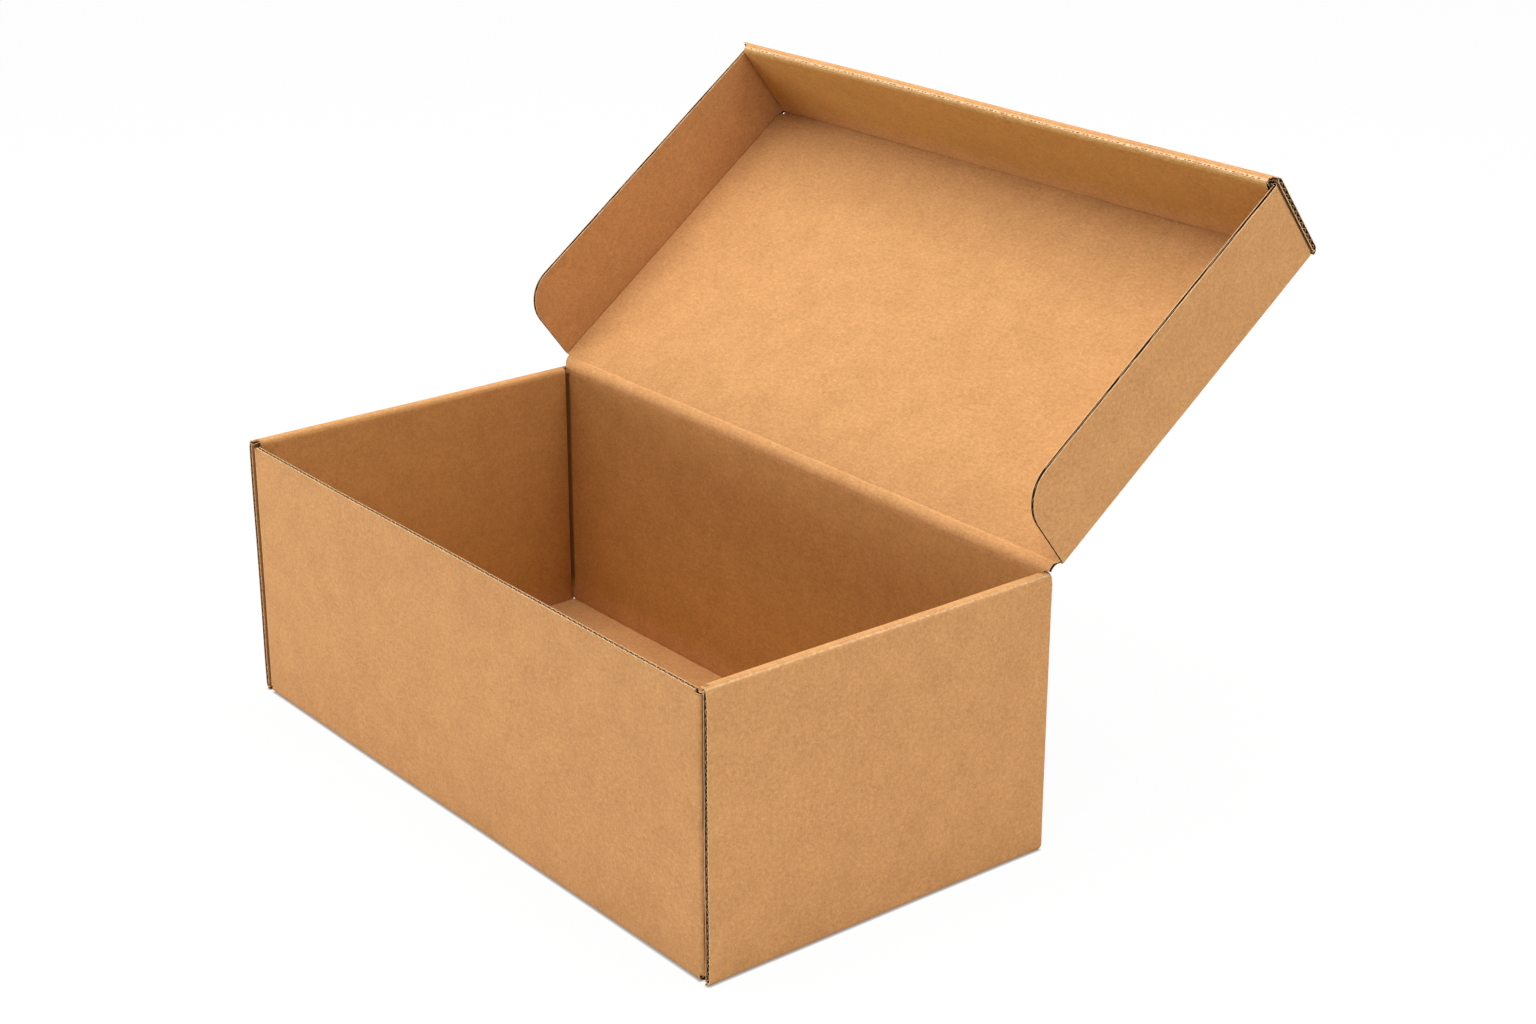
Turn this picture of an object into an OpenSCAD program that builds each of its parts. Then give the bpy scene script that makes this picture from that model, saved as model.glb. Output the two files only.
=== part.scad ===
// Hinged-lid carton folded from one die-cut sheet of corrugated board.
// Origin: centre of the tray's underside. X runs along the width, Y points to the hinge, Z is up.
// All sizes are in millimetres.

/* [Board] */
// Thickness of the corrugated board
board_t = 1.7; // [1.2:0.1:2.4]
// Inside radius of a right-angle fold
fold_r = 0.7; // [0.4:0.1:1]
// Air between layers that lie face to face
layer_gap = 0.25; // [0.15:0.05:0.5]

/* [Tray] */
// Outside width of the tray
tray_w = 330; // [240:1:420]
// Outside depth of the tray
tray_d = 168; // [130:1:240]
// Outside height of the tray at its rolled side rims
tray_h = 120; // [80:1:180]
// How far the front wall's cut rim sits under the underside of the rolled rims
rim_gap = 0.5; // [0.3:0.1:3]
// How far the side walls' cut ends sit behind the front and back faces
edge_inset = 0.8; // [0.3:0.1:2]
// Air between the inner side panels' ends and the front and back walls
inner_end_gap = 1.6; // [0.6:0.1:4]

/* [Corner flaps of the tray] */
// How far a corner flap reaches into the double side wall
flap_len = 66; // [30:1:75]
// Height lost by a corner flap at its top and at its foot
flap_drop = 1.5; // [0.8:0.1:4]
// Extra taper of a corner flap at its free end
flap_taper = 3; // [0:0.5:8]

/* [Lock tabs] */
// Length of a lock tab of the tray's inner side panels
side_tab_w = 38; // [20:1:50]
// Distance of those tabs from the middle of the side
side_tab_y = 38; // [28:1:45]
// Length of a lock tab of the lid's inner front panel
lid_tab_w = 46; // [20:1:70]
// Distance of those tabs from the middle of the lid
lid_tab_x = 84; // [50:1:100]
// Air round a tab in its slot
slot_clear = 0.25; // [0.15:0.05:0.6]
// How far a tab's tip stays inside the outer face of the board
tab_recess = 0.3; // [0.1:0.1:1]

/* [Lid] */
// Air between a lid wing and the tray's side wall
lid_side_clear = 1.4; // [0.6:0.1:4]
// Air between the lid's front and the tray's front wall
lid_front_clear = 1.0; // [0.6:0.1:4]
// Air between the shut lid and the rolled rims, and under the hinge crease
lid_lift = 0.3; // [0.3:0.05:1]
// Height of the wings, from the lid's outer face
wing_h = 41; // [24:1:60]
// Height of the rolled front above the wings' free edges
front_rise = 3; // [2.8:0.1:6]
// Distance from the hinge axis to the wings' rear edges
wing_start = 5; // [4:0.1:12]
// Distance from the hinge axis to where the lid starts to widen to its wings
shoulder_start = 3.2; // [2:0.1:3.8]
// Radius of the wings' rear free corners
wing_corner_r = 16; // [4:1:20]
// How far a wing's corner flap reaches into the rolled front
wing_flap_len = 42; // [15:1:60]
// Radius of the relief holes where the lid's creases meet
relief_r = 1; // [0.5:0.1:1.5]
// How far the lid stands open, 0 being shut
open_deg = 143; // [0:1:180]

/* [Hidden] */
$fn = 48;
fold_o = fold_r + board_t;                      // outside radius of a fold
roll_w = 3 * board_t + 2 * layer_gap;           // a rolled wall: outer panel, captured flap, inner panel
side_x = tray_w / 2;
front_y = tray_d / 2;
flap_x = side_x - board_t - layer_gap;          // outer face of a captured corner flap
wall_x = flap_x - fold_o;                       // where the front and back walls start to fold
front_top = tray_h - board_t - rim_gap;
flap_top = front_top - flap_drop;
flap_foot = board_t + flap_drop;
flap_reach = min(flap_len, front_y - 8);
full_rim_x = side_x - roll_w - 0.7;             // the front rim keeps its full height inside this
inner_y = front_y - board_t - inner_end_gap;
floor_top = board_t + layer_gap;
hinge_y = front_y - board_t / 2;
hinge_z = tray_h + lid_lift + board_t / 2;
hinge_x = wall_x + 1.2;
lid_x = side_x + lid_side_clear + board_t;      // outer face of a wing
lid_len = tray_d - board_t / 2 + lid_front_clear + roll_w; // hinge axis to the front's outer face
lid_top = board_t / 2;                          // lid heights are measured from the hinge axis
front_h = wing_h + front_rise;
wing_foot = lid_top - wing_h;
front_foot = lid_top - front_h;
wing_end = lid_len - board_t - layer_gap - fold_o;
inner_x = lid_x - board_t - inner_end_gap;
wing_flap_top = -board_t / 2 - 1;

// Quarter of a fold seen along its crease, in the quadrant between +X and +Y
module fold2d() {
    intersection() {
        difference() {
            circle(fold_o);
            circle(fold_r);
        }
        square(fold_o);
    }
}

// Extrudes a section drawn in X and Z along Y
module along_y(from, to) {
    translate([0, to, 0]) rotate([90, 0, 0]) linear_extrude(to - from) children();
}

// Extrudes a section drawn in Y and Z along X
module along_x(from, to) {
    translate([from, 0, 0]) rotate([90, 0, 90]) linear_extrude(to - from) children();
}

// Double side wall on the +X side: outer panel, rolled rim, inner panel with its tabs
module side_wall() {
    along_y(-front_y + edge_inset, front_y - edge_inset) {
        translate([side_x - fold_o, fold_o]) mirror([0, 1]) fold2d();
        translate([side_x - board_t, fold_o]) square([board_t, tray_h - 2 * fold_o]);
        translate([side_x - fold_o, tray_h - fold_o]) fold2d();
        translate([side_x - roll_w + fold_o, tray_h - board_t])
            square([roll_w - 2 * fold_o, board_t]);
    }
    along_y(-inner_y, inner_y) {
        translate([side_x - roll_w + fold_o, tray_h - fold_o]) mirror([1, 0]) fold2d();
        translate([side_x - roll_w, floor_top]) square([board_t, tray_h - fold_o - floor_top]);
    }
    for (s = [-1, 1])
        translate([side_x - roll_w, s * side_tab_y - side_tab_w / 2, tab_recess])
            cube([board_t, side_tab_w, floor_top - tab_recess]);
}

// Slots in the base for the tabs of the +X side wall
module side_slots() {
    for (s = [-1, 1])
        translate([side_x - roll_w - slot_clear, s * side_tab_y - side_tab_w / 2 - slot_clear, -1])
            cube([board_t + 2 * slot_clear, side_tab_w + 2 * slot_clear, board_t + 2]);
}

// Corner flap at the +X end of the wall at -Y, with the fold that turns it
module corner_flap() {
    translate([wall_x, -front_y + fold_o, flap_foot])
        mirror([0, 1, 0]) linear_extrude(flap_top - flap_foot) fold2d();
    translate([flap_x - board_t, 0, 0]) rotate([90, 0, 90]) linear_extrude(board_t)
        polygon([
            [-front_y + fold_o, flap_foot],
            [-front_y + flap_reach, flap_foot + flap_taper],
            [-front_y + flap_reach, flap_top - flap_taper],
            [-front_y + fold_o, flap_top]
        ]);
}

// Wall at -Y up to a given height, folded up from the base
module cross_wall(top) {
    along_x(-wall_x, wall_x) translate([-front_y + fold_o, fold_o]) mirror([1, 0]) mirror([0, 1]) fold2d();
    translate([-full_rim_x, -front_y, fold_o]) cube([2 * full_rim_x, board_t, top - fold_o]);
    translate([-wall_x, -front_y, fold_o]) cube([2 * wall_x, board_t, flap_top - fold_o]);
    for (m = [0, 1]) mirror([m, 0, 0]) corner_flap();
}

// Tray: base, front and back walls with captured corner flaps, two rolled side walls
module tray() {
    color("burlywood") {
        difference() {
            translate([-side_x + fold_o, -front_y + fold_o, 0])
                cube([tray_w - 2 * fold_o, tray_d - 2 * fold_o, board_t]);
            for (m = [0, 1]) mirror([m, 0, 0]) side_slots();
        }
        cross_wall(front_top);
        mirror([0, 1, 0]) cross_wall(tray_h);
        for (m = [0, 1]) mirror([m, 0, 0]) side_wall();
    }
}

// The lid is drawn shut, with the hinge axis on X and the lid reaching along -Y

// Flat of the lid, with rounded hinge end, slots and relief holes
module lid_flat() {
    difference() {
        union() {
            rotate([0, 90, 0]) cylinder(r = board_t / 2, h = 2 * hinge_x, center = true);
            translate([0, 0, -board_t / 2]) linear_extrude(board_t)
                polygon([
                    [-hinge_x, 0], [-hinge_x, -shoulder_start],
                    [-lid_x + fold_o, -wing_start], [-lid_x + fold_o, -lid_len + fold_o],
                    [lid_x - fold_o, -lid_len + fold_o], [lid_x - fold_o, -wing_start],
                    [hinge_x, -shoulder_start], [hinge_x, 0]
                ]);
        }
        for (s = [-1, 1]) {
            translate([
                s * lid_tab_x - lid_tab_w / 2 - slot_clear,
                -lid_len + roll_w - board_t - slot_clear,
                -board_t
            ])
                cube([lid_tab_w + 2 * slot_clear, board_t + 2 * slot_clear, 2 * board_t]);
            translate([s * (inner_x + relief_r / 2), -lid_len + roll_w + relief_r / 2, -board_t])
                cylinder(r = relief_r, h = 2 * board_t);
        }
    }
}

// Wing at +X with the corner flap that the rolled front captures
module wing() {
    along_y(-wing_end, -wing_start)
        translate([lid_x - fold_o, lid_top - fold_o]) fold2d();
    translate([lid_x - board_t, 0, 0]) rotate([90, 0, 90]) linear_extrude(board_t) {
        translate([-wing_end, wing_foot + wing_corner_r])
            square([wing_end - wing_start, wing_h - fold_o - wing_corner_r]);
        translate([-wing_end, wing_foot]) square([wing_end - wing_start - wing_corner_r, wing_h / 2]);
        translate([-wing_start - wing_corner_r, wing_foot + wing_corner_r]) circle(wing_corner_r);
    }
    translate([lid_x - fold_o, -wing_end, wing_foot])
        mirror([0, 1, 0]) linear_extrude(wing_flap_top - wing_foot) fold2d();
    translate([0, -wing_end - fold_o + board_t, 0]) rotate([90, 0, 0]) linear_extrude(board_t)
        polygon([
            [lid_x - fold_o, wing_foot], [lid_x - fold_o, wing_flap_top],
            [lid_x - wing_flap_len, wing_flap_top - flap_taper],
            [lid_x - wing_flap_len, wing_foot + flap_taper]
        ]);
}

// Rolled front of the lid: outer panel, rolled free edge, inner panel with its tabs
module lid_front() {
    along_x(-lid_x + edge_inset, lid_x - edge_inset) {
        translate([-lid_len + fold_o, lid_top - fold_o]) mirror([1, 0]) fold2d();
        translate([-lid_len + fold_o, front_foot + fold_o]) mirror([1, 0]) mirror([0, 1]) fold2d();
    }
    along_x(-lid_x, lid_x)
        translate([-lid_len, front_foot + fold_o]) square([board_t, front_h - 2 * fold_o]);
    along_x(-inner_x, inner_x) {
        translate([-lid_len + fold_o, front_foot]) square([roll_w - 2 * fold_o, board_t]);
        translate([-lid_len + roll_w - fold_o, front_foot + fold_o]) mirror([0, 1]) fold2d();
        translate([-lid_len + roll_w - board_t, front_foot + fold_o])
            square([board_t, front_h - fold_o - board_t - layer_gap]);
    }
    for (s = [-1, 1])
        translate([s * lid_tab_x - lid_tab_w / 2, -lid_len + roll_w - board_t, -board_t / 2 - layer_gap])
            cube([lid_tab_w, board_t, board_t + layer_gap - tab_recess]);
}

// Lid, hinged on the back wall's top crease
module lid() {
    color("tan")
        translate([0, hinge_y, hinge_z]) rotate([-open_deg, 0, 0]) {
            lid_flat();
            for (m = [0, 1]) mirror([m, 0, 0]) wing();
            lid_front();
        }
}

tray();
lid();
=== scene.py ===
import math
import random

import bmesh
import bpy
from mathutils import Matrix, Vector, noise


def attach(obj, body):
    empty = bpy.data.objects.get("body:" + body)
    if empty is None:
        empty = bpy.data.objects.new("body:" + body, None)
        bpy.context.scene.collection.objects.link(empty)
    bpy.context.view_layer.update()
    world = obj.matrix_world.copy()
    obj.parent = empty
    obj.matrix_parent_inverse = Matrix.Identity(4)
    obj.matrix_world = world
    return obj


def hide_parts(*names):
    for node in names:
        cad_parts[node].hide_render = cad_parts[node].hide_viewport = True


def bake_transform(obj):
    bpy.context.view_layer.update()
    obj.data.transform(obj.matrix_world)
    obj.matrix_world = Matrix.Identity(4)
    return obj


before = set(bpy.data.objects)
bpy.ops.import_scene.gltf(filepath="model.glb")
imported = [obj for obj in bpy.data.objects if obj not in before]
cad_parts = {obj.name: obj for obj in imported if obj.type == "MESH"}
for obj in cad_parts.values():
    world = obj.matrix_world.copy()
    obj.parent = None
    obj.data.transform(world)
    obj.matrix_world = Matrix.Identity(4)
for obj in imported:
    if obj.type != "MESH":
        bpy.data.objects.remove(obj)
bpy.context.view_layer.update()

# Sizes in metres: the panels are those of the solids, and the paper's behaviour is added
MM = 0.001
BOARD = 1.7 * MM
HALF = BOARD / 2
LINER = 0.3 * MM
FLARED = 2.3 * MM
WING_FLARED = 1.9 * MM
RIM_FLARED = 1.8 * MM
CRUSHED = 1.0 * MM
PRESSED = 0.8 * MM
FLARE_REACH = 9 * MM
FOLD_IN = 0.7 * MM
FOLD_OUT = FOLD_IN + BOARD
FOLD_MID = FOLD_IN + HALF
CREASE = 0.6 * MM
CORNER = 2.5 * MM
WING_BEND = 0.7 * MM
GAP = 0.25 * MM
ROLL = 3 * BOARD + 2 * GAP
SIDE_X = 165 * MM
FRONT_Y = 84 * MM
TRAY_H = 120 * MM
EDGE_INSET = 0.2 * MM
FRONT_PROUD = 0.1 * MM
SPRUNG = 0.35 * MM
RIM_ROOM = 0.1 * MM
END_GAP = 1.6 * MM
FLAP_ROOM = 0.2 * MM
FLAP_X = SIDE_X - BOARD - GAP - HALF - FLAP_ROOM
WALL_X = FLAP_X - CORNER
RIM_DROP = 0.5 * MM
FRONT_TOP = TRAY_H - BOARD - RIM_DROP
FLAP_DROP = 1.3 * MM
NOTCH_SHADE = 0.8 * MM
FLAP_TOP = FRONT_TOP - FLAP_DROP
FLAP_LIFT = 1.5 * MM
FLAP_FOOT = BOARD + FLAP_LIFT
FLAP_REACH = 66 * MM
FLAP_TAPER = 3 * MM
FLAP_PLAY = 2 * MM
REAR_FLAP_RISE = FLAP_DROP - 0.3 * MM
REAR_FLAP_SINK = 1.2 * MM
RIM_END_GAP = 0.7 * MM
FULL_RIM_X = SIDE_X - ROLL - RIM_END_GAP
INNER_Y = FRONT_Y - BOARD - END_GAP
FLOOR_TOP = BOARD + GAP
TAB_TIP = 0.3 * MM
SLOT_CLEAR = 0.25 * MM
SIDE_TAB = (38 * MM, 19 * MM)
LID_TAB = (84 * MM, 23 * MM)
HINGE_RISE = 0.3 * MM
HINGE = Vector((0, FRONT_Y - HALF, TRAY_H + HINGE_RISE + HALF))
HINGE_FOOT_ROOM = 0.3 * MM
HINGE_FOOT_X = SIDE_X - ROLL + FOLD_OUT - HINGE_FOOT_ROOM
HINGE_STEP = 0.2 * MM
HINGE_FLAT = 1.0 * MM
HINGE_TURNS = 12
HINGE_LEFT_X = SIDE_X - 3.2 * MM
HINGE_X = SIDE_X - 0.8 * MM
LID_SIDE_ROOM = 1.4 * MM
LID_FRONT_ROOM = 1.0 * MM
LID_X = SIDE_X + LID_SIDE_ROOM + BOARD
LID_LEN = 2 * FRONT_Y - HALF + LID_FRONT_ROOM + ROLL
WING_H = 41 * MM
FRONT_DEEPER = 3 * MM
FRONT_H = WING_H + FRONT_DEEPER
WING_START = 5 * MM
SHOULDER = 3.2 * MM
WING_CORNER = 16 * MM
CORNER_STEPS = 14
WING_FLAP = 42 * MM
WING_END = LID_LEN - BOARD - GAP - HALF - WING_BEND
WING_FOOT = HALF - WING_H
FRONT_FOOT = HALF - FRONT_H
WING_FLAP_DROP = 1 * MM
WING_FLAP_TOP = -HALF - WING_FLAP_DROP
INNER_X = LID_X - BOARD - END_GAP
HOLE_X = (-1.6 * MM, 1.4 * MM)
HOLE_Y = (-0.4 * MM, 1.6 * MM)
OPEN = math.radians(143)
FLUTE = 3.3 * MM
FLUTE_DEPTH = 4 * MM
FLUTE_PAPER = 0.34 * MM
FLUTE_INSET = 0.3 * MM
RIM_FLUTE_INSET = 0.1 * MM
FLUTE_POINTS = 6
PANEL_STEP = 11 * MM
COLUMNS = [PANEL_STEP * i for i in range(1, 15)]
BESIDE = 1.5 * MM
SECOND_CREASE = 4.5 * MM
CREASE_W = 0.5 * MM
CREASE_DEEP = 0.2 * MM
TINY = 0.02 * MM
PHOTO_W = 1536
UNEVEN_SEED = 12

# Without a seed of its own the noise starts from the clock
noise.seed_set(UNEVEN_SEED)


# Hand tools: every shape below is drawn with these

def clear_selection():
    if bpy.context.mode != "OBJECT":
        bpy.ops.object.mode_set(mode="OBJECT")
    bpy.ops.object.select_all(action="DESELECT")


def choose(piece):
    clear_selection()
    piece.select_set(True)
    bpy.context.view_layer.objects.active = piece


def edit(piece):
    choose(piece)
    bpy.ops.object.mode_set(mode="EDIT")


def done():
    bpy.ops.object.mode_set(mode="OBJECT")


def pick(kind, test):
    """Selects the edges, faces or verts of the piece in edit mode whose middle passes the test."""
    bpy.ops.mesh.select_mode(type={"verts": "VERT", "edges": "EDGE", "faces": "FACE"}[kind])
    bpy.ops.mesh.select_all(action="DESELECT")
    mesh = bmesh.from_edit_mesh(bpy.context.object.data)
    for item in getattr(mesh, kind):
        if kind == "verts":
            middle = item.co
        elif kind == "edges":
            middle = (item.verts[0].co + item.verts[1].co) / 2
        else:
            middle = item.calc_center_median()
        item.select_set(bool(test(middle, item)))
    mesh.select_flush_mode()
    bmesh.update_edit_mesh(bpy.context.object.data)


def flat_sheet(name, low, high, z):
    """A plane between two corners at a height, left in edit mode."""
    clear_selection()
    middle = ((low[0] + high[0]) / 2, (low[1] + high[1]) / 2, z)
    bpy.ops.mesh.primitive_plane_add(size=1, location=middle)
    piece = bpy.context.object
    piece.name = piece.data.name = name
    bpy.ops.transform.resize(value=(high[0] - low[0], high[1] - low[1], 1))
    bpy.ops.object.transform_apply(location=True, rotation=True, scale=True)
    bpy.ops.object.mode_set(mode="EDIT")
    return piece


def draw_out(*steps):
    """Extrudes the selected edges step by step, as board drawn along a fold."""
    for step in steps:
        bpy.ops.mesh.extrude_region_move(TRANSFORM_OT_translate={"value": tuple(step)})


def fold(first, last, radius=CREASE, room=FOLD_MID, turns=5):
    """Steps round a right-angle fold that starts along first and ends along last."""
    first, last = Vector(first), Vector(last)
    at = [
        first * math.sin(a) * radius + last * (1 - math.cos(a)) * radius
        for a in (math.pi / 2 * i / turns for i in range(turns + 1))
    ]
    round_it = [b - a for a, b in zip(at, at[1:])]
    if room - radius < TINY:
        return round_it
    return [first * (room - radius)] + round_it + [last * (room - radius)]


def corner_fold(first, last, radius):
    """The softer fold at an upright corner."""
    return fold(first, last, radius, room=radius, turns=8)


def cut(normal, places, test=None):
    """Cuts the sheet, or the faces that pass the test, with planes across it."""
    normal = Vector(normal)
    for place in places:
        if test is None:
            bpy.ops.mesh.select_all(action="SELECT")
        else:
            pick("faces", test)
        bpy.ops.mesh.bisect(plane_co=tuple(normal * place), plane_no=tuple(normal))


def drop(test):
    """Cuts away the faces whose middle passes the test."""
    pick("faces", test)
    bpy.ops.mesh.delete(type="FACE")


def near(a, b, by=TINY):
    return abs(a - b) < by


def spaced(low, high, step):
    count = max(1, round((high - low) / step))
    return [low + (high - low) * i / count for i in range(1, count)]


def modify(piece, kind, **settings):
    choose(piece)
    modifier = piece.modifiers.new(kind.lower(), kind)
    for key, value in settings.items():
        setattr(modifier, key, value)
    bpy.ops.object.modifier_apply(modifier=modifier.name)


def mirrored(piece, x=True, y=False):
    modify(
        piece, "MIRROR", use_axis=(x, y, False), use_clip=False,
        use_mirror_merge=True, merge_threshold=TINY,
    )


def tidy_normals(piece):
    edit(piece)
    bpy.ops.mesh.select_all(action="SELECT")
    bpy.ops.mesh.remove_doubles(threshold=TINY)
    bpy.ops.mesh.normals_make_consistent(inside=False)
    done()


def joined(name, pieces):
    clear_selection()
    for piece in pieces:
        piece.select_set(True)
    bpy.context.view_layer.objects.active = pieces[0]
    bpy.ops.object.join()
    whole = bpy.context.object
    whole.name = whole.data.name = name
    return whole


# Camera

def look_through_photo_camera():
    azimuth, elevation = math.radians(51.40), math.radians(21.31)
    focal_px = 2688.75
    camera = bpy.data.cameras.new("photo_camera")
    camera.sensor_fit = "HORIZONTAL"
    camera.sensor_width = 36.0
    camera.lens = focal_px / PHOTO_W * camera.sensor_width
    camera.clip_start, camera.clip_end = 0.05, 50
    seat = bpy.data.objects.new("photo_camera", camera)
    bpy.context.scene.collection.objects.link(seat)
    seat.location = Vector((843.54, -597.88, 518.3)) * MM
    seat.rotation_euler = (math.pi / 2 - elevation, 0, azimuth)
    bpy.context.scene.camera = seat


look_through_photo_camera()


# Tray: a quarter of the sheet is folded up at the front right, then mirrored

def tray_sheet():
    fold_x, fold_y = SIDE_X - FOLD_OUT, FRONT_Y - FOLD_OUT
    sheet = flat_sheet("tray_sheet", (0, -fold_y), (fold_x, 0), HALF)
    cut((1, 0, 0), [WALL_X])
    pick("edges", lambda m, e: near(m.y, -fold_y) and m.x < WALL_X)
    draw_out(
        *fold((0, -1, 0), (0, 0, 1)),
        (0, 0, FLAP_FOOT - FOLD_OUT),
        (0, 0, FLAP_TOP - FLAP_FOOT),
        (0, 0, FRONT_TOP - FLAP_TOP),
    )
    pick("edges", lambda m, e: near(m.x, fold_x))
    draw_out(
        *fold((1, 0, 0), (0, 0, 1)),
        (0, 0, BESIDE),
        (0, 0, TRAY_H - 2 * FOLD_OUT - 2 * BESIDE),
        (0, 0, BESIDE),
        *fold((0, 0, 1), (-1, 0, 0)),
        (-(ROLL - 2 * FOLD_OUT), 0, 0),
        *fold((-1, 0, 0), (0, 0, -1)),
        (0, 0, -BESIDE),
        (0, 0, -(TRAY_H - FOLD_OUT - FLOOR_TOP - BESIDE)),
    )
    roll_x = SIDE_X - ROLL + FOLD_OUT
    inner_x = SIDE_X - ROLL + HALF
    pick("edges", lambda m, e: near(m.y, -fold_y) and m.x > fold_x - TINY and e.is_boundary
         and abs(e.verts[0].co.y - e.verts[1].co.y) < TINY
         or near(m.y, -fold_y) and m.z > TRAY_H - FOLD_OUT and m.x > roll_x and e.is_boundary)
    draw_out((0, -(FRONT_Y - EDGE_INSET - fold_y), 0))
    pick("edges", lambda m, e: near(m.x, WALL_X) and near(m.y, HALF - FRONT_Y)
         and FLAP_FOOT < m.z < FLAP_TOP and e.is_boundary)
    draw_out(
        *corner_fold((1, 0, 0), (0, 1, 0), CORNER), (0, BESIDE, 0),
        (0, FLAP_REACH - HALF - CORNER - BESIDE, 0),
    )
    flap_end = FLAP_REACH - FRONT_Y
    pick("verts", lambda m, v: near(m.y, flap_end) and near(m.x, FLAP_X))
    middle = (FLAP_TOP + FLAP_FOOT) / 2
    shrink = 1 - FLAP_TAPER / ((FLAP_TOP - FLAP_FOOT) / 2)
    bpy.ops.transform.resize(value=(1, 1, shrink), center_override=(0, flap_end, middle))

    def inner_panel(m):
        return m.x < roll_x and m.x > inner_x - TINY and m.z > FLOOR_TOP

    cut((0, 1, 0), [-INNER_Y], lambda m, f: inner_panel(m))
    drop(lambda m, f: inner_panel(m) and -fold_y < m.y < -INNER_Y)
    cut((1, 0, 0), [FULL_RIM_X], lambda m, f: near(m.y, HALF - FRONT_Y) and m.z > FLAP_TOP)

    tab_ends = [-SIDE_TAB[0] - SIDE_TAB[1], -SIDE_TAB[0] + SIDE_TAB[1]]
    cut((0, 1, 0), tab_ends, lambda m, f: near(m.x, inner_x) and m.z > FLOOR_TOP)
    pick("edges", lambda m, e: near(m.x, inner_x) and near(m.z, FLOOR_TOP)
         and tab_ends[0] < m.y < tab_ends[1])
    draw_out((0, 0, TAB_TIP - FLOOR_TOP))
    slot_x = (SIDE_X - ROLL - SLOT_CLEAR, SIDE_X - ROLL + BOARD + SLOT_CLEAR)
    slot_y = (tab_ends[0] - SLOT_CLEAR, tab_ends[1] + SLOT_CLEAR)
    cut((1, 0, 0), slot_x, lambda m, f: near(m.z, HALF))
    cut((0, 1, 0), slot_y, lambda m, f: near(m.z, HALF))
    drop(lambda m, f: near(m.z, HALF)
         and slot_x[0] < m.x < slot_x[1] and slot_y[0] < m.y < slot_y[1])

    cut((1, 0, 0), COLUMNS + [WALL_X - BESIDE])
    cut((0, 1, 0), spaced(-INNER_Y, 0, PANEL_STEP) + [BESIDE - fold_y])
    # The last cut bounds the painted shade round the notch at the top of each corner
    cut((0, 0, 1), spaced(FLAP_FOOT, FLAP_TOP, PANEL_STEP) + [FLAP_TOP - NOTCH_SHADE])
    done()
    mirrored(sheet, y=True)
    tidy_normals(sheet)
    edit(sheet)
    drop(lambda m, f: near(m.y, HALF - FRONT_Y) and m.z > FLAP_TOP and abs(m.x) > FULL_RIM_X)
    pick("verts", lambda m, v: m.y > 0 and near(m.z, FLAP_TOP) and abs(m.x) > WALL_X - TINY
         and abs(m.x) < FLAP_X + TINY)
    bpy.ops.transform.translate(value=(0, 0, REAR_FLAP_RISE))
    pick("verts", lambda m, v: m.y > 0 and near(m.z, FLAP_FOOT) and abs(m.x) > WALL_X - TINY
         and abs(m.x) < FLAP_X + TINY)
    bpy.ops.transform.translate(value=(0, 0, -REAR_FLAP_SINK))
    done()
    return sheet


# Lid: half of the sheet is folded while shut, hinge on the X axis, then mirrored and opened

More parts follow.
